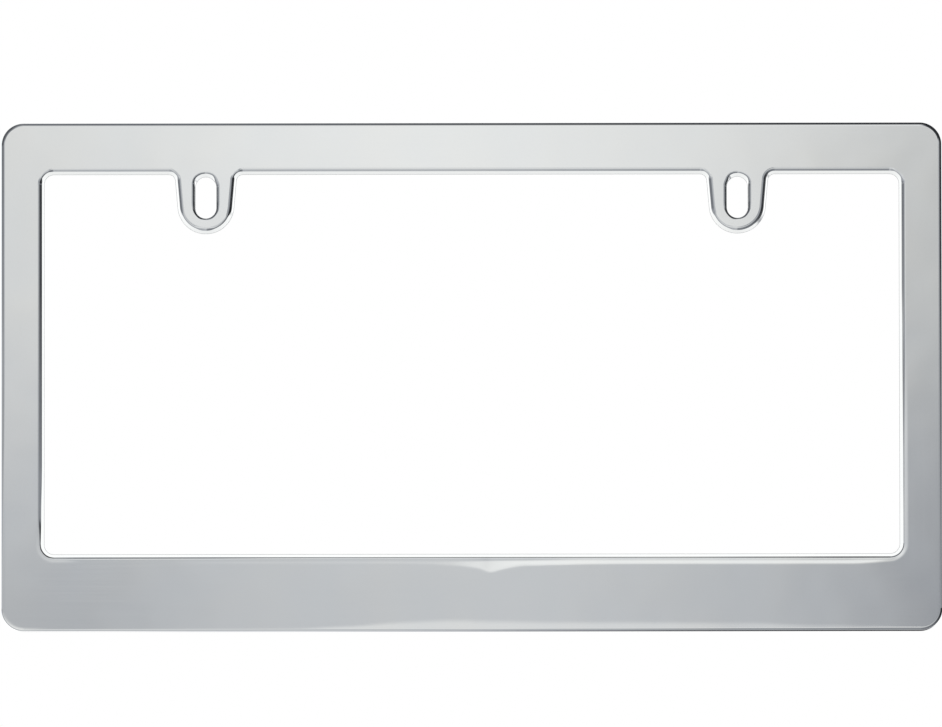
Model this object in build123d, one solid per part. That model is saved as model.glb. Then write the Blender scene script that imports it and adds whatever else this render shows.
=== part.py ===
from build123d import *
from math import radians, tan
import os

# Number plate holder: a frame cast in one piece and chrome plated. Sizes in millimetres, angles in degrees.
# The frame stands upright as it is used: X to the right, Z up, and the polished face looks along -Y.
# The origin is the middle of the number plate, on the seat plane that bears on the plate.

# Frame, measured over its back rim
frame_width = 314.9
frame_height = 170.3
outer_corner = 7.6

# Bars, from the back rim to the edge of the window in the face
side_bar = 13.3
top_bar = 16.2
bottom_bar = 24.7
window_corner = 4.5

# Section: a shallow channel, open at the back, with a deep skirt outside and a short lip inside
skirt_depth = 8.0
lip_depth = 4.0
wall = 1.8
skirt_draft = 2.0
lip_draft = 17.0
edge_round = 1.2
channel_round = 0.7
edge_break = 0.3

# Screw slots, one in each lug, at the hole pitch of a 12 by 6 inch number plate
slot_pitch = 177.8
slot_width = 7.0
slot_length = 14.0
slot_gap = 1.95

# Lugs that hang from the top bar into the window
lug_rim = 4.8
lug_foot = 3.9
lug_lean = 5.0
lug_root = 3.4

# Planes of the section; Plane.XZ looks along -Y, so a positive offset lies nearer the front
face_plane = Plane.XZ.offset(lip_depth)
floor_plane = Plane.XZ.offset(lip_depth - wall)

# The frame, the window and a lug as they are drawn in the face
skirt_lean = skirt_depth * tan(radians(skirt_draft))
face_width = frame_width - 2 * skirt_lean
face_height = frame_height - 2 * skirt_lean
face_corner = outer_corner - skirt_lean
window_width = frame_width - 2 * side_bar
window_height = frame_height - top_bar - bottom_bar
window_middle = (bottom_bar - top_bar) / 2
window_top = window_middle + window_height / 2
slot_height = window_top - slot_gap - slot_length / 2
lug_radius = slot_width / 2 + lug_rim
lug_centre = slot_height - slot_length / 2 - lug_foot + lug_radius


def cast_prism(plane, outline, depth, lean):
    """A prism from a plane towards the back. Its sides lean out by an angle, about the face plane."""
    prism = extrude(plane * outline, -depth)
    sides = prism.faces().filter_by(Axis.Y, reverse=True)
    return draft(sides, face_plane, lean)


def lug_outline(centre_x):
    """A lug: a round end, and two sides tangent to it that lean apart up to the top bar."""
    end = CenterArc((centre_x, lug_centre), lug_radius, 180 + lug_lean, 180 - 2 * lug_lean)
    side_rise = window_top + lug_root - (end @ 0).Y
    left = PolarLine(end @ 0, side_rise, 90 + lug_lean, length_mode=LengthMode.VERTICAL)
    right = PolarLine(end @ 1, side_rise, 90 - lug_lean, length_mode=LengthMode.VERTICAL)
    top = Line(left @ 1, right @ 1)
    return make_face([end, left, top, right])


# Block with the outer form, wider at the back than at the face, as a casting leaves its mould
block = cast_prism(
    face_plane,
    RectangleRounded(face_width, face_height, face_corner),
    skirt_depth,
    skirt_draft,
)

# Hollow back: the channel floor is one wall behind the face, and the lip stands on it up to the seat
cavity = cast_prism(
    floor_plane,
    RectangleRounded(face_width - 2 * wall, face_height - 2 * wall, face_corner - wall),
    skirt_depth,
    skirt_draft,
)
lip = cast_prism(
    floor_plane,
    Pos(0, window_middle)
    * RectangleRounded(window_width + 2 * wall, window_height + 2 * wall, window_corner + wall),
    lip_depth - wall,
    -lip_draft,
)
channel = cavity - lip
channel_floor = channel.faces().sort_by(Axis.Y)[0]
channel = fillet(channel_floor.edges(), channel_round)

# Window: one cut that narrows to the back, so its wall shows all the way round, lugs and all
window = Pos(0, window_middle) * Rectangle(window_width, window_height)
window -= lug_outline(-slot_pitch / 2)
window -= lug_outline(slot_pitch / 2)
lug_roots = window.vertices().filter_by(
    lambda v: abs(v.X) < window_width / 2 - 0.01 and abs(v.Y - window_top) < 0.01
)
window = fillet(lug_roots, lug_root)
window_corners = window.vertices().filter_by(lambda v: abs(v.X) > window_width / 2 - 0.01)
window = fillet(window_corners, window_corner)
opening = cast_prism(face_plane, window, skirt_depth, -lip_draft)

# Upright slots, straight through the lugs
slot = SlotOverall(slot_length, slot_width, rotation=90)
slots = Pos(-slot_pitch / 2, slot_height) * slot + Pos(slot_pitch / 2, slot_height) * slot
slot_cut = extrude(face_plane * slots, -skirt_depth)

frame = block - channel - opening - slot_cut

# Every edge of the face is rounded, and the edges at the back are broken by small chamfers
face = frame.faces().sort_by(Axis.Y)[0]
frame = fillet(face.edges(), edge_round)
rim = frame.faces().sort_by(Axis.Y)[-1]
frame = chamfer(rim.edges(), edge_break)
seat = frame.faces().filter_by(Axis.Y).filter_by(lambda f: abs(f.center().Y) < 0.01)[0]
frame = chamfer(seat.edges(), edge_break)

os.makedirs("parts", exist_ok=True)
export_step(frame, "parts/plate_frame.step")
print("frame", frame.bounding_box().size, "volume", round(frame.volume / 1000, 1), "cm3")
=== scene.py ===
# %% [markdown]
# # A chrome number plate holder
# The holder is one casting in zinc alloy: a flat frame with a wide bottom bar, two lugs with screw slots,
# and a hollow back. It was buffed on the front and then chrome plated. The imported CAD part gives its
# place and its size. This lesson remakes it as one finer mesh, because chrome is a mirror and shows every
# facet of a coarse one.

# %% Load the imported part
from math import cos, exp, pi, radians, sin, tan

import bmesh
import bpy
from mathutils import Matrix, Quaternion, Vector


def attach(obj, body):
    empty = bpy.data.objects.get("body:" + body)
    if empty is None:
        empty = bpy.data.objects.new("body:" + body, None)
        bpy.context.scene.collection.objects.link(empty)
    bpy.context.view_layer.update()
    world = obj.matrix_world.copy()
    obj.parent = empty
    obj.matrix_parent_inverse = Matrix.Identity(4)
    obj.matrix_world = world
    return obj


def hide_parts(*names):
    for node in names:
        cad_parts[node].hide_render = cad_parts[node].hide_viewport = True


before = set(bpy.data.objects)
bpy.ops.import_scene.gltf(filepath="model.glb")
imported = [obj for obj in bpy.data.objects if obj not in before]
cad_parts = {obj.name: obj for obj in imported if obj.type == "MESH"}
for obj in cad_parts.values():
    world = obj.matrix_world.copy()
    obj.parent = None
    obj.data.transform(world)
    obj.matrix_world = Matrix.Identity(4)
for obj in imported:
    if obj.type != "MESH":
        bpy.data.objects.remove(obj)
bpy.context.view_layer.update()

MM = 0.001

# %% [markdown]
# ## The camera
# The photograph was taken from far off with a long lens, a little below the middle of the frame: the
# walls that look down show more than those that look up. So the camera stands 4 m away and looks up by
# two degrees. The lens follows from the width that the picture takes in at that distance. The frame also
# hung a hair out of level, about a pixel over its length, and the camera's roll gives that.

# %% Camera
PICTURE_WIDTH, PICTURE_HEIGHT = 942, 727
PIXEL = 0.3345
SENSOR_WIDTH = 36
CAMERA_DISTANCE = 4.0
CAMERA_ELEVATION = radians(-2.2)
CAMERA_ROLL = radians(-0.08)
FRAME_MIDDLE = (471.8, 376.85)

aim = Vector((
    (PICTURE_WIDTH / 2 - FRAME_MIDDLE[0]) * PIXEL * MM,
    0,
    (FRAME_MIDDLE[1] - PICTURE_HEIGHT / 2) * PIXEL * MM,
))
towards_camera = Vector((0, -cos(CAMERA_ELEVATION), sin(CAMERA_ELEVATION)))
camera = bpy.data.objects.new("camera", bpy.data.cameras.new("camera"))
camera.data.sensor_width = SENSOR_WIDTH
camera.data.lens = SENSOR_WIDTH * CAMERA_DISTANCE / (PICTURE_WIDTH * PIXEL * MM)
camera.location = aim + towards_camera * CAMERA_DISTANCE
level_look = (-towards_camera).to_track_quat("-Z", "Y")
camera.rotation_euler = (level_look @ Quaternion((0, 0, 1), CAMERA_ROLL)).to_euler()
bpy.context.scene.collection.objects.link(camera)
bpy.context.scene.camera = camera
print("lens", round(camera.data.lens, 1), "mm, camera at", [round(v, 3) for v in camera.location])

# %% [markdown]
# ## Sizes
# These are the sizes that the CAD part was built from, in millimetres, so the mesh lies on the part's
# surface. X runs to the right, Z up, and Y from the polished face to the back. Y is 0 at the plate's
# seat.

# %% Sizes of the casting
FRAME_WIDTH, FRAME_HEIGHT, OUTER_CORNER = 314.9, 170.3, 7.6
SIDE_BAR, TOP_BAR, BOTTOM_BAR, WINDOW_CORNER = 13.3, 16.2, 24.7, 4.5
SKIRT_DEPTH, LIP_DEPTH, WALL = 8.0, 4.0, 1.8
SKIRT_DRAFT, LIP_DRAFT = radians(2), radians(17)
EDGE_ROUND, CHANNEL_ROUND, EDGE_BREAK = 1.2, 0.7, 0.3
SLOT_PITCH, SLOT_WIDTH, SLOT_LENGTH, SLOT_GAP = 177.8, 7.0, 14.0, 1.95
LUG_RIM, LUG_FOOT, LUG_LEAN, LUG_ROOT = 4.8, 3.9, radians(5), 3.4

FACE, SEAT, RIM = -LIP_DEPTH, 0.0, SKIRT_DEPTH - LIP_DEPTH
FLOOR = FACE + WALL
skirt_lean = SKIRT_DEPTH * tan(SKIRT_DRAFT)
face_width, face_height = FRAME_WIDTH - 2 * skirt_lean, FRAME_HEIGHT - 2 * skirt_lean
face_corner = OUTER_CORNER - skirt_lean
window_width = FRAME_WIDTH - 2 * SIDE_BAR
window_top, window_bottom = FRAME_HEIGHT / 2 - TOP_BAR, BOTTOM_BAR - FRAME_HEIGHT / 2
slot_height = window_top - SLOT_GAP - SLOT_LENGTH / 2
lug_radius = SLOT_WIDTH / 2 + LUG_RIM
lug_centre = slot_height - SLOT_LENGTH / 2 - LUG_FOOT + lug_radius
print("window", round(window_width, 2), "x", round(window_top - window_bottom, 2), "mm")
print("lug end radius", lug_radius, "mm, slots", round(slot_height, 2), "mm up")

# %% [markdown]
# ## Sections and how they are carried round
# A casting like this has one section all the way round, as a picture frame has. It could be drawn as a
# block and bevelled, but a mirror finish needs clean rows along every edge. So each section is drawn once
# as a chain of points, extruded along the straight runs and spun round the corners. Each outline is
# walked with the metal on the left hand, and a point of a section is (how far into the metal, how deep in
# Y). Each run begins and ends with a very short stride, which keeps the reflections on it straight right
# up to the turn. A corner of a section is rounded by an arc that is tangent to both of its sides.

# %% Walking a section round an outline
ARC_STEP, FEWEST_STEPS = radians(4.5), 6
HOLD = 0.05
quarter = radians(90)


def extrude_by(bm, edges, step):
    """Extrude a chain of edges by a step in metres, and give back the chain at its end."""
    made = bmesh.ops.extrude_edge_only(bm, edges=edges)["geom"]
    ends = {part for part in made if isinstance(part, bmesh.types.BMVert)}
    bmesh.ops.translate(bm, verts=list(ends), vec=step)
    return [
        part for part in made
        if isinstance(part, bmesh.types.BMEdge) and all(end in ends for end in part.verts)
    ]


def walk(bm, section, start, heading, moves, stride):
    """Carry a section along runs, given as lengths, and round turns, given as (angle, radius)."""
    here = Vector((start[0], 0, start[1]))
    ahead = Vector((cos(heading), 0, sin(heading)))
    left = Vector((-sin(heading), 0, cos(heading)))
    chain = [bm.verts.new((here + left * inset + Vector((0, depth, 0))) * MM) for inset, depth in section]
    edges = [bm.edges.new(pair) for pair in zip(chain, chain[1:])]
    for move in moves:
        if isinstance(move, tuple):
            angle, radius = move
            centre = here + left * (radius if angle > 0 else -radius)
            turn = Matrix.Rotation(angle, 3, (0, -1, 0))
            made = bmesh.ops.spin(
                bm, geom=edges, cent=centre * MM, axis=(0, -1, 0), angle=angle,
                steps=max(FEWEST_STEPS, round(abs(angle) / ARC_STEP)),
            )["geom_last"]
            edges = [part for part in made if isinstance(part, bmesh.types.BMEdge)]
            here = centre + turn @ (here - centre)
            ahead, left = turn @ ahead, turn @ left
        else:
            pieces = max(1, round(move / stride))
            even = (move - 2 * HOLD) / pieces
            for step in [HOLD, *[even] * pieces, HOLD]:
                edges = extrude_by(bm, edges, ahead * (step * MM))
            here = here + ahead * move
    print("walked to", round(here.x, 3), round(here.z, 3), "with", len(section), "points")


print("a quarter turn takes", round(quarter / ARC_STEP), "steps")

# %% Rounding a corner of a section
def rounded(before, corner, after, radius, steps):
    """Points of an arc that replaces a section's corner, tangent to the lines to both neighbours."""
    before, corner, after = Vector(before), Vector(corner), Vector(after)
    side_in, side_out = (before - corner).normalized(), (after - corner).normalized()
    half = side_in.angle(side_out) / 2
    centre = corner + (side_in + side_out).normalized() * (radius / sin(half))
    first = corner + side_in * (radius / tan(half)) - centre
    sweep = side_in.angle_signed(side_out)
    sweep = (pi - abs(sweep)) * (1 if sweep > 0 else -1)
    return [tuple(centre + Matrix.Rotation(sweep * step / steps, 2) @ first) for step in range(steps + 1)]


test_arc = rounded((5, 0), (0, 0), (0, 5), 1.0, 4)
print("a quarter arc", [(round(a, 3), round(b, 3)) for a, b in test_arc])

# %% [markdown]
# ## The outer edge
# From the face the metal turns over a small radius into the skirt, which leans out by two degrees so that
# the casting leaves its mould. The rim at the back is broken by small chamfers, and inside it the skirt
# comes down to the floor of the hollow back. Half of the outline is walked, because the other half is its
# mirror image.

# %% Outer section
OUTER_REACH, OUTER_ROWS = 5.2, 10
OUTER_STRIDE = 4.0
ROUND_STEPS, CHANNEL_STEPS = 12, 5


def skirt_wall(depth, thickness=0.0):
    """Where the leaning skirt lies at a depth, measured into the metal from the face's outline."""
    return (thickness - (depth - FACE) * tan(SKIRT_DRAFT), depth)


def face_rows(reach, round_start, rows):
    """Even rows of the face up to a rounding, and a last row that holds the face flat beside it."""
    even = [(reach + (round_start - reach) * row / rows, FACE) for row in range(rows)]
    return [*even, (round_start + HOLD, FACE)]


def outer_section(radius):
    """The outer edge: rows of the face, a rounding, the skirt, its rim and the channel's corner."""
    arc = rounded((OUTER_REACH, FACE), (0, FACE), skirt_wall(RIM), radius, ROUND_STEPS)
    rim_outer, rim_inner = skirt_wall(RIM), skirt_wall(RIM, WALL)
    return [
        *face_rows(OUTER_REACH, arc[0][0], OUTER_ROWS),
        *arc,
        skirt_wall(RIM - EDGE_BREAK),
        (rim_outer[0] + EDGE_BREAK, RIM),
        (rim_inner[0] - EDGE_BREAK, RIM),
        skirt_wall(RIM - EDGE_BREAK, WALL),
        *rounded(rim_inner, skirt_wall(FLOOR, WALL), (OUTER_REACH, FLOOR), CHANNEL_ROUND, CHANNEL_STEPS),
        (OUTER_REACH, FLOOR),
    ]


bm = bmesh.new()
walk(bm, outer_section(EDGE_ROUND), (0, -face_height / 2), 0, [
    face_width / 2 - face_corner,
    (quarter, face_corner),
    face_height - 2 * face_corner,
    (quarter, face_corner),
    face_width / 2 - face_corner,
], OUTER_STRIDE)
print("outer edge done;", len(bm.faces), "faces so far")

# %% [markdown]
# ## The lip
# A short lip stands round the window on the floor of the hollow back. Its flat top is the seat that bears
# on the number plate. This strip is its wall on the channel side; the window's own wall is the other side
# of the lip.

# %% Lip section
LIP_APRON = 1.2


def lip_wall(depth):
    """Where the lip's leaning wall lies at a depth, as a distance towards the window."""
    return ((depth - FACE) * tan(LIP_DRAFT), depth)


lip_section = [
    (-LIP_APRON, FLOOR),
    *rounded((-LIP_APRON, FLOOR), lip_wall(FLOOR), lip_wall(SEAT), CHANNEL_ROUND, CHANNEL_STEPS),
    lip_wall(SEAT - EDGE_BREAK),
    (lip_wall(SEAT)[0] + EDGE_BREAK, SEAT),
]
lip_corner = WINDOW_CORNER + WALL
lip_width, lip_height = window_width + 2 * WALL, window_top - window_bottom + 2 * WALL
walk(bm, lip_section, (0, window_bottom - WALL), 0, [
    lip_width / 2 - lip_corner,
    (quarter, lip_corner),
    lip_height - 2 * lip_corner,
    (quarter, lip_corner),
    lip_width / 2 - lip_corner,
], OUTER_STRIDE)
print("lip section", len(lip_section), "points;", len(bm.faces), "faces so far")

# %% [markdown]
# ## The window and the lugs
# One wall runs all the way round the window and the lugs. It leans by seventeen degrees, so it shows from
# the front. The outline turns right into each lug's root, left round its end, and right again out of the
# other root. At the foot of the wall, where the halves of the mould met, a hair of trimmed flash is left:
# with the back's rough plating, painted darker as shade, it draws the thin grey line round the opening. The
# strides are short here, because the window's lower edge is shaped further below. Each point of the
# rounding also keeps its number in a layer of the mesh, so that it can be found again after mirroring.

# %% Window section
WINDOW_REACH, WINDOW_ROWS = 2.4, 7
WINDOW_STRIDE = 1.25
FLASH = 0.05


def window_wall(depth):
    """Where the window's leaning wall lies at a depth; it reaches out of the metal into the window."""
    return (-(depth - FACE) * tan(LIP_DRAFT), depth)


def window_section(radius):
    """The window's edge: rows of the face, a rounding, the wall, the flash and the seat's chamfer."""
    arc = rounded((WINDOW_REACH, FACE), (0, FACE), window_wall(SEAT), radius, ROUND_STEPS)
    foot = window_wall(SEAT - EDGE_BREAK)
    flash_tip = (foot[0] - FLASH, foot[1])
    chamfer_end = (window_wall(SEAT)[0] + EDGE_BREAK, SEAT)
    return [*face_rows(WINDOW_REACH, arc[0][0], WINDOW_ROWS), *arc, foot, flash_tip, chamfer_end]


print("window section", len(window_section(EDGE_ROUND)), "points")

# %% Walking round the window and the lugs
HIT = 0.001
lug_turn = quarter - LUG_LEAN
lug_side_foot = lug_centre - lug_radius * sin(LUG_LEAN)
lug_side = (window_top - lug_side_foot) / cos(LUG_LEAN)
lug_half_width = lug_radius * cos(LUG_LEAN) + lug_side * sin(LUG_LEAN)
root_tangent = LUG_ROOT * tan(lug_turn / 2)
to_lug = SLOT_PITCH / 2 - lug_half_width - root_tangent
past_lug = window_width / 2 - WINDOW_CORNER - SLOT_PITCH / 2 - lug_half_width - root_tangent
arc_row = bm.verts.layers.int.new("arc_row")
made_before = set(bm.verts)
walk(bm, window_section(EDGE_ROUND), (0, window_top), 0, [
    to_lug,
    (-lug_turn, LUG_ROOT),
    lug_side - root_tangent,
    (2 * lug_turn, lug_radius),
    lug_side - root_tangent,
    (-lug_turn, LUG_ROOT),
    past_lug,
    (-quarter, WINDOW_CORNER),
    window_top - window_bottom - 2 * WINDOW_CORNER,
    (-quarter, WINDOW_CORNER),
    window_width / 2 - WINDOW_CORNER,
], WINDOW_STRIDE)
window_arc = rounded((WINDOW_REACH, FACE), (0, FACE), window_wall(SEAT), EDGE_ROUND, ROUND_STEPS)
for vert in set(bm.verts) - made_before:
    for row, (_, depth) in enumerate(window_arc):
        if abs(vert.co.y / MM - depth) < HIT:
            vert[arc_row] = row
print("window wall done;", len(bm.faces), "faces so far")

# %% [markdown]
# ## The screw slots
# The slots have straight sides, but the wall of their upper end leans back, up and outwards, as the
# window's wall does, and shows from the front as a pale crescent. Both ends have a crisper edge than the
# sides. More sections could be drawn for that and blended, but it is simpler to walk the straight one and
# then to move its points: each is found again by how far it lies from the slot's outline, takes its place
# in the section with the other rounding, and is pushed out by the lean at its depth.

# %% Slot section
SLOT_REACH = EDGE_ROUND + 2 * HOLD
slot_radius = SLOT_WIDTH / 2
slot_straight = SLOT_LENGTH - SLOT_WIDTH


def slot_section(radius):
    """A slot's edge: rows of the face, a rounding, the wall, the flash and the seat's chamfer."""
    arc = rounded((SLOT_REACH, FACE), (0, FACE), (0, SEAT), radius, ROUND_STEPS)
    foot = SEAT - EDGE_BREAK
    return [(SLOT_REACH, FACE), (radius + HOLD, FACE), *arc, (0, foot), (-FLASH, foot), (EDGE_BREAK, SEAT)]


made_before = set(bm.verts)
walk(bm, slot_section(EDGE_ROUND), (SLOT_PITCH / 2 + slot_radius, slot_height), -quarter, [
    slot_straight / 2,
    (-2 * quarter, slot_radius),
    slot_straight,
    (-2 * quarter, slot_radius),
    slot_straight / 2,
], WINDOW_STRIDE)
slot_verts = [vert for vert in bm.verts if vert not in made_before]
print("slot made of", len(slot_verts), "points;", len(bm.faces), "faces so far")

# %% Moving the points of the slot's ends
SLOT_CRISP = 0.5
FOOT_SHARE = [(-6.5, 0.65), (-2.0, 0.0)]
LEAN_TURN = radians(25)
LEAN_SHARE, RISE_SHARE = [(0, 0.0), (0.62, 1.0)], [(0, 0.0), (0.75, 1.0)]
leaning = Vector((sin(LEAN_TURN), 0, cos(LEAN_TURN)))


def between(place, stops):
    """A value that eases from stop to stop, each given as (place, value)."""
    for (place_a, value_a), (place_b, value_b) in zip(stops, stops[1:]):
        if place <= place_b:
            share = max(0.0, (place - place_a) / (place_b - place_a))
            return value_a + (value_b - value_a) * share ** 2 * (3 - 2 * share)
    return stops[-1][1]


def crisper(section, radius, into_metal, depth):
    """The same point of a section after its rounding got another radius."""
    for plain, crisp in zip(section(EDGE_ROUND), section(radius)):
        if abs(plain[0] - into_metal) < HIT and abs(plain[1] - depth) < HIT:
            return crisp
    return into_metal, depth


for vert in slot_verts:
    x, y, z = vert.co / MM
    height = z - slot_height
    nearest = max(-slot_straight / 2, min(height, slot_straight / 2))
    off = Vector((x - SLOT_PITCH / 2, 0, height - nearest))
    into_metal, outward = off.length - slot_radius, off.normalized()
    top_share = between(outward.dot(leaning), LEAN_SHARE) * between(outward.z, RISE_SHARE)
    radius = EDGE_ROUND + (SLOT_CRISP - EDGE_ROUND) * max(top_share, between(height, FOOT_SHARE))
    inset, depth = crisper(slot_section, radius, into_metal, y)
    lean = max(0.0, SEAT - EDGE_BREAK - depth) * tan(LIP_DRAFT) * top_share
    vert.co += (outward * (inset - into_metal + lean) + Vector((0, depth - y, 0))) * MM
print("slot's top at the face", round(max(vert.co.z for vert in slot_verts) / MM - SLOT_REACH, 2), "mm up")

# %% [markdown]
# ## Closing the shell
# The half is mirrored, and its doubles are merged. A strip of fine rows is drawn down from the window's
# lower edge, to be shaped further below. Three flat areas are still open: the face, the floor of the
# channel and the seat. Each is bounded by the ends of the sections in one plane, so a fill between those
# edges closes it, holes and all. The swept faces are shaded smooth and the fills flat, so that their thin
# triangles can't bend a reflection. Then the normals are turned outwards in one go, because the shell is
# closed.

# %% Mirror and fill
WELD = 1e-6
STRIP_ROWS, STRIP_ROW = 8, 0.35


def open_edges_at(bm, depth, height=None):
    """Open edges in a plane across Y and, where a height is given, along that height only."""
    return [
        edge for edge in bm.edges
        if edge.is_boundary
        and all(abs(end.co.y - depth * MM) < WELD for end in edge.verts)
        and (height is None or all(abs(end.co.z - height * MM) < WELD for end in edge.verts))
    ]


bmesh.ops.mirror(bm, geom=bm.verts[:] + bm.edges[:] + bm.faces[:], axis="X", merge_dist=WELD)
bmesh.ops.remove_doubles(bm, verts=bm.verts, dist=WELD)
strip = open_edges_at(bm, FACE, window_bottom - WINDOW_REACH)
print("strip below the window:", len(strip), "edges")
for _ in range(STRIP_ROWS):
    strip = extrude_by(bm, strip, Vector((0, 0, -STRIP_ROW * MM)))
for face in bm.faces:
    face.smooth = True
for name, depth in (("face", FACE), ("channel floor", FLOOR), ("seat", SEAT)):
    rim_edges = open_edges_at(bm, depth)
    filled = bmesh.ops.triangle_fill(bm, edges=rim_edges, use_beauty=True, normal=(0, -1, 0))["geom"]
    print(name, len(rim_edges), "open edges,", len(filled), "new parts")
bmesh.ops.recalc_face_normals(bm, faces=bm.faces)
print("open edges left:", sum(not edge.is_manifold for edge in bm.edges), "of", len(bm.edges))
print("volume", round(bm.calc_volume() / MM ** 3 / 1000, 2), "cm3")

# %% [markdown]
# ## Rounder sides and crisper turns
# Beside the window and on the sides of the lugs the edge is rounder than along the top and the wall
# stands steeper, so the dark line that the rounding mirrors is wider there. At the window's top corners
# and round the roots and ends of the lugs the edge is crisper instead, and the line is a thin arc. Both
# could be sections of their own, blended along the outline, but only the rounding changes: the wall's
# foot and the face beside it stay. So the points of the rounding are moved straight across the edge, by
# how far the edge looks sideways there, or sideways and down at once.

# %% Moving the points of the sides and the turns
SIDE_DRAFT, SIDE_ROUND, TURN_ROUND = radians(12.5), 1.5, 0.5
SIDE_SHARE, RIGHT_LUG_SHARE = [(0.88, 0.0), (0.99, 1.0)], [(0.6, 0.0), (0.95, 1.0)]
TURN_SHARE = [(0.3, 0.0), (0.8, 1.0)]
SIDE_PLACE = [(-140, 1.0), (-105, 0.35), (-95, 0.35), (-85, 1.0), (110, 1.0), (140, 0.5)]
LEFT_FROM, RIGHT_FROM = [(-46, 0.0), (-30, 1.0)], [(12, 0.0), (30, 1.0)]
face_end, wall_foot = (WINDOW_REACH, FACE), window_wall(SEAT - EDGE_BREAK)
side_corner = (wall_foot[0] + (wall_foot[1] - FACE) * tan(SIDE_DRAFT), FACE)
side_arc = rounded(face_end, side_corner, wall_foot, SIDE_ROUND, ROUND_STEPS)
turn_arc = [window_arc[0], *rounded(face_end, (0, FACE), wall_foot, TURN_ROUND, ROUND_STEPS - 1)]
bm.normal_update()
for vert in bm.verts:
    row = vert[arc_row]
    if row:
        x, _, z = vert.co / MM
        inwards = Vector((-vert.normal.x, 0, -vert.normal.z)).normalized()
        right_of_lug = x > 0 > inwards.x
        side = between(abs(inwards.x), RIGHT_LUG_SHARE if right_of_lug else SIDE_SHARE)
        side *= between(x, SIDE_PLACE) * between(z, LEFT_FROM if x < 0 else RIGHT_FROM)
        turning = 0.0 if right_of_lug else 2 * abs(inwards.x) * max(0.0, inwards.z)
        turn = between(turning, TURN_SHARE) * (1 - side)
        plain = Vector(window_arc[row])
        inset, depth = (Vector(side_arc[row]) - plain) * side + (Vector(turn_arc[row]) - plain) * turn
        vert.co += (inwards * inset + Vector((0, depth, 0))) * MM
print("side rounding from", round(side_arc[0][0], 2), "to", round(side_arc[-1][0], 2), "mm")
print("was", round(window_arc[0][0], 2), "to", round(window_arc[-1][0], 2), "mm")

# %% [markdown]
# ## What the buffing wheel left
# A buffing wheel pulls metal down beside an edge. Here it did so on the bottom bar: along the window's
# lower edge a band two millimetres wide tips up towards the window, from the middle to the right and a
# little way up the right side, with a small V-shaped dent at the middle where the wheel dwelt. A faint
# one goes round the window's bottom left corner. Along the outer edge the bar rolls off downwards, most
# at the middle, less to the right and hardly at the ends. The bar's two long edges, the window's bottom
# corners and the bottom left outer corner are also crisper than the other edges. The bands and the
# roll-off are about a tenth of a millimetre deep at most. They could be bump, but a mirror shows a tip of
# one degree and a bump can't change the edge's line, so the rows along those edges are moved instead. The
# lists below give a place along X, or up Z, and the value there.

# %% How far the wheel pulled the face down
BAND_TIP, BAND_POWER = radians(1.8), 2
BAND_START = [(-137, 0.6), (-125, 1.3), (10, 1.3), (40, 1.1)]
BAND_SHARE = [
    (-137, 0.22), (-130, 0.0), (-110, 0.0), (-75, 0.14), (-14, 0.16), (-7, 0.2), (-4, 0.27), (-0.6, 0.34),
    (2.7, 0.4), (6.2, 0.5), (10, 0.7), (15, 0.9), (20, 1.0), (134, 1.0), (144, 0.55),
]
BAND_EASE = [
    (-10, 0.7), (-1, 1.0), (2.7, 1.2), (5.5, 0.7), (7, 0.7), (10, 1.1), (16, 1.6), (23, 0.9), (30, 0.6),
]
UP_LEFT, UP_RIGHT = [(-56, 1.0), (-48, 0.0)], [(-45, 1.0), (-28, 0.8), (10, 0.0)]
BAND_WIDTH = [(-137, 2.0), (-125, 2.47), (30, 2.47), (126, 2.67), (144, 1.67)]
BESIDE_EDGE = [(10, 0.0), (43, 0.18), (126, 0.3), (140, 0.4), (144, 1.0)]
DENT_PLACE, DENT_WIDTH, DENT_LEFT, DENT_RIGHT = 6.2, 3.1, 10.0, 11.0
ROLL_TIP, ROLL_POWER = radians(2.8), 1
ROLL_WIDTH = [
    (-149.5, 1.2), (-140, 0.5), (-124, 0.5), (-60, 0.8), (-41, 1.8), (-24, 3.4), (-7, 4.4),
    (9, 3.9), (26, 3.4), (93, 3.1), (110, 2.3), (134, 2.0), (144, 0.8), (149.5, 0.1),
]


def sink(into_metal, width, tip, ease, power):
    """How deep the face is pulled down beside an edge: a band of one tip, eased out at its far side."""
    level = max(0.0, width - ease - into_metal)
    eased = min(ease, max(0.0, width - into_metal))
    return tan(tip) * (level + eased * (eased / ease) ** power / (power + 1))


def wheel_share(x, z):
    """How much of the wheel's work shows beside the window: all of it low down, none high up."""
    return between(z, UP_LEFT if x < 0 else UP_RIGHT)


def band_sink(x, z, into_metal):
    """The band round the window's lower edge, with its dent. Close to the edge it tips by a part only."""
    tip = BAND_TIP * between(x, BAND_SHARE) * wheel_share(x, z)
    flank = DENT_LEFT if x < DENT_PLACE else DENT_RIGHT
    width = between(x, BAND_WIDTH) + DENT_WIDTH * exp(-abs(x - DENT_PLACE) / flank)
    start = between(x, BAND_START)
    beside_edge = tan(tip) * between(x, BESIDE_EDGE) * max(0.0, start - max(into_metal, 0.0))
    return sink(max(into_metal, start), width, tip, between(x, BAND_EASE), BAND_POWER) + beside_edge


print("band at the dent", round(band_sink(DENT_PLACE, window_bottom, 0), 3), "mm deep")

# %% Moving the rows of the bottom bar
WINDOW_CRISP = [
    (-144, 0.5), (-139.5, 0.6), (-130, 0.75), (-90, 0.7), (-60, 0.5), (-40, 0.4),
    (60, 0.4), (105, 0.6), (126, 0.75), (139.5, 0.7), (144, 0.4),
]
OUTER_CRISP = [(-150, 0.35), (-140, 0.6), (0, 0.65), (43, 0.8), (110, 1.0), (149.5, EDGE_ROUND)]
RIM_UP = [(-78, 1.0), (0, 0.0)]
band_reach = WINDOW_REACH + STRIP_ROWS * STRIP_ROW
window_run = window_width / 2 - WINDOW_CORNER
outer_run = face_width / 2 - face_corner


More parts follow.
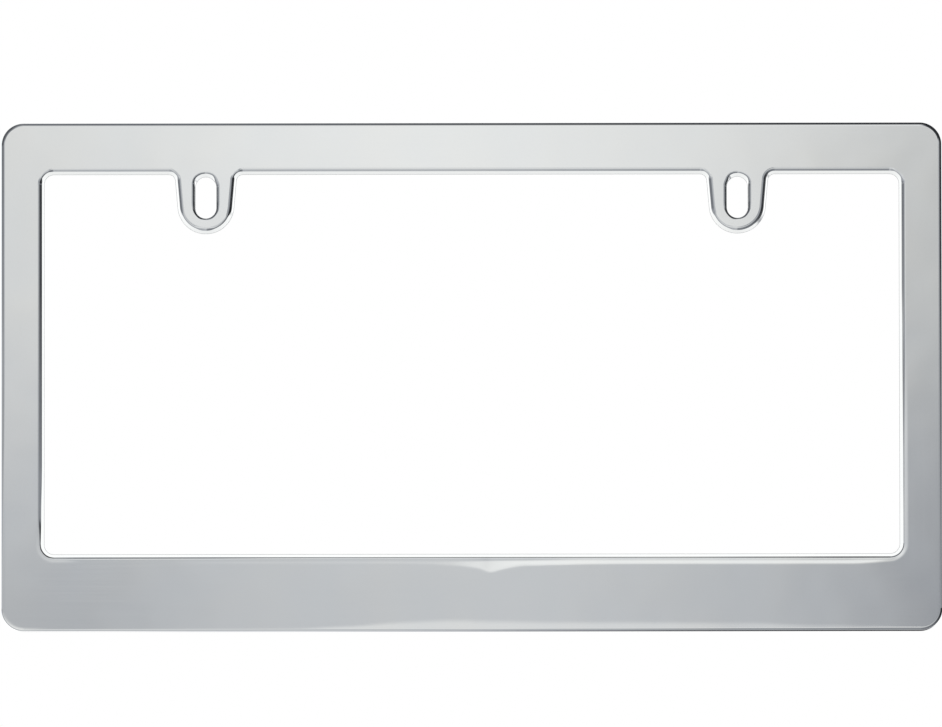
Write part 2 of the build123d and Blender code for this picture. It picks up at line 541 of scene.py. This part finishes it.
def past_outline(x, z, run, bottom, corner):
    """How far, and which way, a point lies outside the bottom half of an outline with round corners."""
    off = Vector((max(abs(x) - run, 0.0), max(bottom + corner - z, 0.0)))
    outward = off.normalized()
    return off.length - corner, Vector((outward[0] if x > 0 else -outward[0], 0, -outward[1]))


moved = 0
for vert in bm.verts:
    x, y, z = vert.co / MM
    if y > FACE + EDGE_ROUND + HIT or z > UP_RIGHT[-1][0]:
        continue
    into_metal, outward = past_outline(x, z, window_run, window_bottom, WINDOW_CORNER)
    past_rim, off_rim = past_outline(x, z, outer_run, -face_height / 2, face_corner)
    if -EDGE_ROUND < into_metal < band_reach - HIT:
        radius = EDGE_ROUND + (between(x, WINDOW_CRISP) - EDGE_ROUND) * wheel_share(x, z)
        inset, depth = crisper(window_section, radius, into_metal, y)
        vert.co += outward * (inset - into_metal) * MM
        vert.co.y = (depth + band_sink(x, z, inset)) * MM
    elif past_rim > HIT - OUTER_REACH:
        up = between(z, RIM_UP)
        radius = EDGE_ROUND + (between(x, OUTER_CRISP) - EDGE_ROUND) * up
        inset, depth = crisper(outer_section, radius, -past_rim, y)
        width = between(x, ROLL_WIDTH)
        vert.co -= off_rim * (inset + past_rim) * MM
        vert.co.y = (depth + sink(max(inset, 0.0), width, ROLL_TIP * up, width, ROLL_POWER)) * MM
    else:
        continue
    moved += 1
print("moved", moved, "of", len(bm.verts), "vertices")

# %% [markdown]
# ## The piece
# The front, its walls and its slots are buffed; everything that looks to the back kept its cast skin under
# the plating, and so did the trimmed flash. That plating is rougher, and it is also painted darker than the
# front: painted shade on the side turned from the light. A face belongs to the back when its normal leans
# to +Y, which no wall seen from the front does. An edge that turns by more than 25 degrees is shaded sharp.

# %% Make the object
SHARP, BACK_LEAN = radians(25), 0.01
BUFFED, CAST_SKIN_AND_SHADE = 0, 1
flash_depth = (SEAT - EDGE_BREAK) * MM
for face in bm.faces:
    face.normal_update()
    on_flash = all(abs(corner.co.y - flash_depth) < WELD for corner in face.verts)
    # Back faces and the flash take the rougher plating, painted darker as shade on the side turned from the
    # light.
    face.material_index = CAST_SKIN_AND_SHADE if face.normal.y > BACK_LEAN or on_flash else BUFFED
for edge in bm.edges:
    edge.smooth = edge.calc_face_angle(pi) < SHARP
bm.verts.layers.int.remove(arc_row)
mesh = bpy.data.meshes.new("chrome_frame")
bm.to_mesh(mesh)
bm.free()
chrome_frame = bpy.data.objects.new("chrome_frame", mesh)
bpy.context.scene.collection.objects.link(chrome_frame)
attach(chrome_frame, "root")
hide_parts("plate_frame")
even_normals = chrome_frame.modifiers.new("even_normals", "WEIGHTED_NORMAL")
even_normals.mode = "FACE_AREA"
even_normals.keep_sharp = True
print("chrome_frame", len(mesh.polygons), "faces")

# %% [markdown]
# ## Materials
# Both finishes are the same chrome and differ in what lies under it, so they share their helpers. One
# function adds a node, sets its properties and sets or links its inputs; nodes could be added by hand in
# the shader editor, but then a reader couldn't follow them here. Colours are written as sRGB hex values,
# as a paint program shows them, and one function turns them to the linear values that Blender mixes.

# %% Node and colour helpers
def add(tree, kind, inputs=None, **settings):
    """Add a node. An input that is given a socket is linked, and any other input is set.
    The stops of a colour ramp are given as a list of (place, colour)."""
    made = tree.nodes.new(kind)
    stops = settings.pop("stops", [])
    for name, value in settings.items():
        setattr(made, name, value)
    for count, (place, colour) in enumerate(stops):
        elements = made.color_ramp.elements
        if count == 0:
            elements.remove(elements[1])
            elements[0].position, elements[0].color = place, colour
        else:
            elements.new(place).color = colour
    for name, value in (inputs or {}).items():
        if isinstance(value, bpy.types.NodeSocket):
            tree.links.new(value, made.inputs[name])
        else:
            made.inputs[name].default_value = value
    return made


def linear(hex_colour):
    """An sRGB hex colour as linear red, green, blue and alpha."""
    parts = [int(hex_colour[place:place + 2], 16) / 255 for place in (1, 3, 5)]
    return [p / 12.92 if p <= 0.04045 else ((p + 0.055) / 1.055) ** 2.4 for p in parts] + [1.0]


print("middle grey, linear", [round(part, 3) for part in linear("#808080")])

# %% What the finishes share
NOISE_LOW, NOISE_HIGH = 0.3, 0.7


def start_material(name):
    """A new material with its node tree, its shader and the places on the object for its patterns."""
    material = bpy.data.materials.new(name)
    material.use_nodes = True
    tree = material.node_tree
    places = add(tree, "ShaderNodeTexCoord").outputs["Object"]
    return material, tree, tree.nodes["Principled BSDF"], places


def tint_by(tree, noise, one, other):
    """A colour that wanders between two hex colours with a noise."""
    return add(tree, "ShaderNodeMix", {
        0: noise.outputs[0], 6: linear(one), 7: linear(other),
    }, data_type="RGBA").outputs[2]


def roughness_by(tree, noise, least, most):
    """A roughness that wanders between two values with a noise."""
    return add(tree, "ShaderNodeMapRange", {
        "Value": noise.outputs[0], "From Min": NOISE_LOW, "From Max": NOISE_HIGH,
        "To Min": least, "To Max": most,
    }).outputs[0]


def make_metal(tree, shader, colour, roughness, bump):
    """Turn a shader to a metal with these sockets for its looks."""
    shader.inputs["Metallic"].default_value = 1.0
    for name, socket in (("Base Color", colour), ("Roughness", roughness), ("Normal", bump.outputs[0])):
        tree.links.new(socket, shader.inputs[name])


print("a noise is used from", NOISE_LOW, "to", NOISE_HIGH)

# %% [markdown]
# ## Buffed chrome
# Bright chrome is a thin plate of metal over buffed zinc: a mirror of a cool grey, with a trace of the
# buffing in it. The wheel ran along each bar, so its lines run along X on the top and bottom bars and
# along Z on the sides, and change over at the mitres. Real lines lie about 0.1 mm apart, too fine to show
# here, so they are drawn 0.8 mm apart. Under them the face waves by a tenth of a degree over some 20 mm,
# which bends reflections a little. A picture of brushed metal could be laid over the bars, but a noise
# stretched along each bar needs no picture, and never repeats.

# %% Buffed chrome: which way the lines run
MITRE_BLEND = 0.2
polished, tree, shader, places = start_material("chrome_plate_buffed")
along = add(tree, "ShaderNodeSeparateXYZ", {0: places})
to_side = add(tree, "ShaderNodeMath", {0: along.outputs["X"]}, operation="ABSOLUTE")
bar_shares = [
    add(tree, "ShaderNodeMapRange", {
        "Value": axis, "From Min": inner * MM, "From Max": outer * MM, "To Min": 0.0, "To Max": 1.0,
    }, clamp=False)
    for axis, inner, outer in (
        (to_side.outputs[0], window_width / 2, FRAME_WIDTH / 2),
        (along.outputs["Z"], window_top, FRAME_HEIGHT / 2),
        (along.outputs["Z"], window_bottom, -FRAME_HEIGHT / 2),
    )
]
level_bar = add(tree, "ShaderNodeMath", {
    0: bar_shares[1].outputs[0], 1: bar_shares[2].outputs[0],
}, operation="MAXIMUM")
past_mitre = add(tree, "ShaderNodeMath", {
    0: bar_shares[0].outputs[0], 1: level_bar.outputs[0],
}, operation="SUBTRACT")
on_side = add(tree, "ShaderNodeMapRange", {
    "Value": past_mitre.outputs[0], "From Min": -MITRE_BLEND, "From Max": MITRE_BLEND,
    "To Min": 0.0, "To Max": 1.0,
}, interpolation_type="SMOOTHSTEP")
print("buffing direction from", len(tree.nodes), "nodes")

# %% Buffed chrome: lines and waves
LINE_SPACING, LINE_LENGTH, LINE_RISE = 0.8 * MM, 70 * MM, 0.0003 * MM
WAVE, WAVE_RISE = 20 * MM, 0.02 * MM
BUFFED_LEAST, BUFFED_MOST = 0.055, 0.063
line_noises = []
for line_size in (
    (LINE_LENGTH, LINE_SPACING, LINE_SPACING),
    (LINE_SPACING, LINE_SPACING, LINE_LENGTH),
):
    stretched = add(tree, "ShaderNodeMapping", {
        "Vector": places, "Scale": [1 / size for size in line_size],
    })
    line_noises.append(add(tree, "ShaderNodeTexNoise", {
        "Vector": stretched.outputs[0], "Scale": 1.0, "Detail": 2.0, "Roughness": 0.6,
    }))
lines = add(tree, "ShaderNodeMix", {
    0: on_side.outputs[0], 2: line_noises[0].outputs[0], 3: line_noises[1].outputs[0],
})
waves = add(tree, "ShaderNodeTexNoise", {
    "Vector": places, "Scale": 1 / WAVE, "Detail": 1.0, "Roughness": 0.4,
})
wave_bump = add(tree, "ShaderNodeBump", {
    "Height": waves.outputs[0], "Strength": 1.0, "Distance": WAVE_RISE,
})
line_bump = add(tree, "ShaderNodeBump", {
    "Height": lines.outputs[0], "Strength": 1.0, "Distance": LINE_RISE, "Normal": wave_bump.outputs[0],
})
buffed_tint = tint_by(tree, waves, "#DADDDE", "#DEDFDD")
buffed_roughness = roughness_by(tree, lines, BUFFED_LEAST, BUFFED_MOST)
make_metal(tree, shader, buffed_tint, buffed_roughness, line_bump)
mesh.materials.append(polished)
print("buffed chrome has", len(tree.nodes), "nodes")

# %% [markdown]
# ## Plating on the cast skin, with painted shade
# Nobody buffs the back. There the plate follows the skin of the casting, finely grained and dull, with
# clouds where the metal cooled at other speeds. Its two greys are also painted darker than the buffed
# chrome: painted shade on the faces turned from the light. A displaced mesh could carry the grain, but bump
# looks the same at this size and weighs nothing. Grain of 0.3 mm would not show, so it is drawn at 0.9 mm.

# %% Cast skin and painted shade
GRAIN, GRAIN_RISE, CLOUD = 0.9 * MM, 0.03 * MM, 18 * MM
SKIN_LEAST, SKIN_MOST = 0.30, 0.46
cast_skin_and_shade, tree, shader, places = start_material("chrome_plate_on_cast_skin_and_painted_shade")
grain, clouds = [
    add(tree, "ShaderNodeTexNoise", {
        "Vector": places, "Scale": 1 / size, "Detail": 2.0, "Roughness": 0.5,
    })
    for size in (GRAIN, CLOUD)
]
skin_bump = add(tree, "ShaderNodeBump", {
    "Height": grain.outputs[0], "Strength": 1.0, "Distance": GRAIN_RISE,
})
# These greys are darker than the buffed chrome's as painted shade; the clouds between them are the skin's
# own tone.
skin_tint_and_painted_shade = tint_by(tree, clouds, "#AEB1B3", "#C2C4C5")
skin_roughness = roughness_by(tree, clouds, SKIN_LEAST, SKIN_MOST)
make_metal(tree, shader, skin_tint_and_painted_shade, skin_roughness, skin_bump)
mesh.materials.append(cast_skin_and_shade)
print("cast skin has", len(tree.nodes), "nodes")

# %% [markdown]
# ## The studio
# Chrome has hardly any colour of its own: it shows the room. Lamps and cards could be stood round the
# frame, but each would move several reflections at once. So the room is drawn in the world by direction,
# as the metal sees it. The flat face mirrors only a patch of the room behind the camera, four degrees
# wide and two high: a pale table at its foot, the far wall with its low, middle, upper and high part, and
# a wide soft lamp above. Each is a row of light levels by degrees from left to right, and the rows blend
# into each other by height. The rounded edges mirror the room all round, by the clock: dark on the right,
# lighter at the lower left. The walls mirror a white backdrop behind the frame. These are rings of light
# levels by a share of the clock, and they blend by how far a direction turns away from the front.

# %% Directions in the room
world = bpy.data.worlds.new("studio")
bpy.context.scene.world = world
world.use_nodes = True
tree = world.node_tree
tree.nodes.clear()
places = add(tree, "ShaderNodeTexCoord")
along = add(tree, "ShaderNodeSeparateXYZ", {"Vector": places.outputs["Generated"]})
to_front = add(tree, "ShaderNodeMath", {0: along.outputs["Y"], 1: -1.0}, operation="MULTIPLY")
from_front = add(tree, "ShaderNodeMath", {0: to_front.outputs[0]}, operation="ARCCOSINE")
upwards = add(tree, "ShaderNodeMath", {0: along.outputs["Z"]}, operation="ARCSINE")
sideways = add(tree, "ShaderNodeMath", {0: along.outputs["X"]}, operation="ARCSINE")
clock = add(tree, "ShaderNodeMath", {0: along.outputs["X"], 1: along.outputs["Z"]}, operation="ARCTAN2")
print("directions from", len(tree.nodes), "nodes")

# %% Light levels by direction
RED_TO_BLUE = 0.4


def share_of(value, begins, ends, easing="LINEAR"):
    """A share from 0 to 1 as a value runs from one angle to another."""
    return add(tree, "ShaderNodeMapRange", {
        "Value": value.outputs[0], "From Min": begins, "From Max": ends, "To Min": 0.0, "To Max": 1.0,
    }, interpolation_type=easing).outputs[0]


def grey(level, cool):
    """A grey light of a linear level, bluer by a share where it is dimmer, as daylight in a room is."""
    dim = max(0.0, 1.0 - level)
    return [level * (1 - RED_TO_BLUE * cool * dim), level, level * (1 + cool * dim), 1.0]


def levels_along(place, stops, first, last, cool):
    """Light levels along a place from 0 to 1, with the stops given between a first and a last value."""
    return add(tree, "ShaderNodeValToRGB", {"Fac": place}, stops=[
        ((stop - first) / (last - first), grey(level, cool)) for stop, level in stops
    ]).outputs["Color"]


def blend(below, over, share):
    """One light over another by a share."""
    return add(tree, "ShaderNodeMix", {0: share, 6: below, 7: over}, data_type="RGBA").outputs[2]


print("a dim cool grey", [round(part, 3) for part in grey(0.5, 0.1)])

# %% Behind the camera
SIDE = 3.0
TABLE = [
    (-3, 1.05), (-2.2, 1.0), (-1.0, 0.92), (0, 0.95), (0.6, 0.93), (1.1, 0.87), (1.6, 0.76), (1.85, 0.68),
    (2.2, 0.46), (3, 0.35),
]
LOW_WALL = [
    (-3, 0.5), (-2.2, 0.55), (-1.85, 0.41), (-1.5, 0.62), (-1.2, 0.685), (-0.34, 0.69), (0, 0.735),
    (0.35, 0.745), (0.95, 0.64), (1.55, 0.645), (1.8, 0.575), (2.2, 0.4), (3, 0.31),
]
MIDDLE_WALL = [
    (-3, 0.66), (-2.2, 0.74), (-1.7, 0.62), (-1.2, 0.74), (0, 0.77), (1.0, 0.69), (1.8, 0.61), (2.2, 0.44),
    (3, 0.33),
]
UPPER_WALL = [
    (-3, 0.85), (-2.2, 0.91), (-1.5, 0.99), (-1.1, 1.055), (-0.2, 1.11), (1.2, 1.1), (1.8, 0.81),
    (2.2, 0.71), (3, 0.58),
]
HIGH_WALL = [
    (-3, 0.85), (-2.2, 0.91), (-1.5, 0.99), (-1.1, 1.055), (-0.2, 1.11), (0.6, 1.025), (1.3, 0.955),
    (1.8, 0.81), (2.2, 0.71), (3, 0.58),
]
LAMP = [(-3, 1.1), (0, 1.17), (3, 1.1)]
COOL, NEUTRAL = 0.14, 0.0
ROWS_BY_HEIGHT = [
    (LOW_WALL, COOL, -1.5, 0.95),
    (MIDDLE_WALL, COOL, 1.05, 1.45),
    (UPPER_WALL, NEUTRAL, 1.62, 2.55),
    (HIGH_WALL, NEUTRAL, 2.75, 3.05),
    (LAMP, NEUTRAL, 3.35, 4.4),
]
across = share_of(sideways, radians(-SIDE), radians(SIDE))
seen = levels_along(across, TABLE, -SIDE, SIDE, COOL)
for row, cool, begins, ends in ROWS_BY_HEIGHT:
    over = levels_along(across, row, -SIDE, SIDE, cool)
    seen = blend(seen, over, share_of(upwards, radians(begins), radians(ends)))
print("behind the camera:", 1 + len(ROWS_BY_HEIGHT), "rows")

# %% Room all round, by the clock: 0 is down, a quarter is left, a half is up
NEAR_ROOM = [
    (0, 0.97), (0.2, 0.7), (0.267, 0.62), (0.28, 0.66), (0.295, 0.6), (0.32, 0.35), (0.41, 0.35),
    (0.45, 0.7), (0.5, 1.0), (0.512, 0.98), (0.532, 0.8), (0.543, 0.4), (0.565, 0.08), (0.685, 0.08),
    (0.7, 0.5), (0.708, 0.73), (0.733, 0.48), (0.8, 0.5), (1, 0.97),
]
FAR_ROOM = [
    (0, 0.68), (0.005, 0.58), (0.0062, 0.65), (0.03, 0.52), (0.22, 0.45), (0.238, 0.25), (0.2505, 0.25),
    (0.2518, 0.9), (0.253, 0.95), (0.2556, 0.5), (0.2597, 0.12), (0.4, 0.12), (0.487, 0.24), (0.495, 0.24),
    (0.4981, 0.14), (0.5, 0.117), (0.5017, 0.075), (0.505, 0.05), (0.55, 0.03), (0.7414, 0.02),
    (0.7445, 0.12), (0.7455, 0.3), (0.7466, 0.5), (0.7478, 0.1), (0.7556, 0.02), (0.79, 0.03), (0.84, 0.08),
    (0.9, 0.2), (0.995, 0.3), (0.9983, 0.62), (1, 0.68),
]
BACKDROP = [(0, 1.12), (0.25, 1.3), (0.5, 1.28), (0.75, 1.3), (1, 1.12)]
BEHIND = [
    (0, 0.42), (0.012, 0.57), (0.027, 0.75), (0.04, 0.76), (0.054, 1.0), (0.09, 1.0), (0.22, 1.3),
    (0.5, 1.28), (0.775, 1.3), (0.84, 0.3), (0.9, 0.03), (0.945, 0.03), (0.966, 0.06), (0.981, 0.16),
    (0.99, 0.26), (1, 0.42),
]
RINGS_BY_ANGLE = [(NEAR_ROOM, 8, 16), (FAR_ROOM, 20, 60), (BACKDROP, 130, 142), (BEHIND, 145, 152)]
by_clock = share_of(clock, -pi, pi)
for levels, begins, ends in RINGS_BY_ANGLE:
    ring = levels_along(by_clock, levels, 0, 1, COOL)
    seen = blend(seen, ring, share_of(from_front, radians(begins), radians(ends), "SMOOTHSTEP"))
print("studio drawn with", len(tree.nodes), "nodes")

# %% [markdown]
# ## What each kind of ray sees
# The chrome mirrors that room, but the picture's background is plain white. A white card could be stood
# behind the frame, and the chrome would mirror it too. Instead the light path tells which kind of ray is
# asking: a mirror ray gets the studio, a ray straight from the camera gets white, and the soft light on
# the floor is that of a plain room.

# %% World by kind of ray
ROOM_LIGHT = 0.85
studio = add(tree, "ShaderNodeBackground", {"Color": seen, "Strength": 1.0})
white = add(tree, "ShaderNodeBackground", {"Color": (1, 1, 1, 1), "Strength": 1.0})
room = add(tree, "ShaderNodeBackground", {"Color": (1, 1, 1, 1), "Strength": ROOM_LIGHT})
rays = add(tree, "ShaderNodeLightPath")
seen_directly = add(tree, "ShaderNodeMath", {
    0: rays.outputs["Is Camera Ray"], 1: rays.outputs["Is Transmission Ray"],
}, operation="MAXIMUM")
soft_or_white = add(tree, "ShaderNodeMixShader", {
    0: seen_directly.outputs[0], 1: room.outputs[0], 2: white.outputs[0],
})
by_ray = add(tree, "ShaderNodeMixShader", {
    0: rays.outputs["Is Glossy Ray"], 1: soft_or_white.outputs[0], 2: studio.outputs[0],
})
add(tree, "ShaderNodeOutputWorld", {"Surface": by_ray.outputs[0]})
bpy.context.scene.view_settings.view_transform = "Standard"
print("world", len(tree.nodes), "nodes")

# %% [markdown]
# ## Floor and shadow lamp
# The frame hangs in the air in front of white, so the floor lies well below it and takes a soft shadow.
# It is a pale matte board. The lamp for that shadow stands high at the front left; the chrome doesn't
# mirror the two, because the studio above is already drawn with its own lamp and table.

# %% Floor
FLOOR_HEIGHT, FLOOR_RADIUS, FLOOR_SIDES = -0.30, 8.0, 96
FIBRE, BOARD_ROUGHNESS = 4 * MM, 0.9
board, tree, shader, places = start_material("pale_matte_board")
fibres = add(tree, "ShaderNodeTexNoise", {"Vector": places, "Scale": 1 / FIBRE, "Detail": 2.0})
tree.links.new(tint_by(tree, fibres, "#E9E9E7", "#EDEDEB"), shader.inputs["Base Color"])
shader.inputs["Roughness"].default_value = BOARD_ROUGHNESS
bm = bmesh.new()
bmesh.ops.create_circle(bm, cap_ends=True, radius=FLOOR_RADIUS, segments=FLOOR_SIDES)
bmesh.ops.translate(bm, verts=bm.verts, vec=(0, 0, FLOOR_HEIGHT))
floor_mesh = bpy.data.meshes.new("floor")
bm.to_mesh(floor_mesh)
bm.free()
floor_mesh.materials.append(board)
floor = bpy.data.objects.new("floor", floor_mesh)
floor.visible_glossy = False
bpy.context.scene.collection.objects.link(floor)
print("floor at", FLOOR_HEIGHT, "m")

# %% Shadow lamp
LAMP_PLACE, LAMP_SIZE, LAMP_POWER = Vector((-0.9, -1.1, 1.7)), 1.0, 18.0
shadow_lamp = bpy.data.objects.new("shadow_lamp", bpy.data.lights.new("shadow_lamp", "AREA"))
shadow_lamp.data.energy = LAMP_POWER
shadow_lamp.data.size = LAMP_SIZE
shadow_lamp.location = LAMP_PLACE
shadow_lamp.rotation_euler = (-LAMP_PLACE).to_track_quat("-Z", "Y").to_euler()
shadow_lamp.visible_glossy = False
bpy.context.scene.collection.objects.link(shadow_lamp)
print("lamp at", [round(v, 2) for v in LAMP_PLACE])
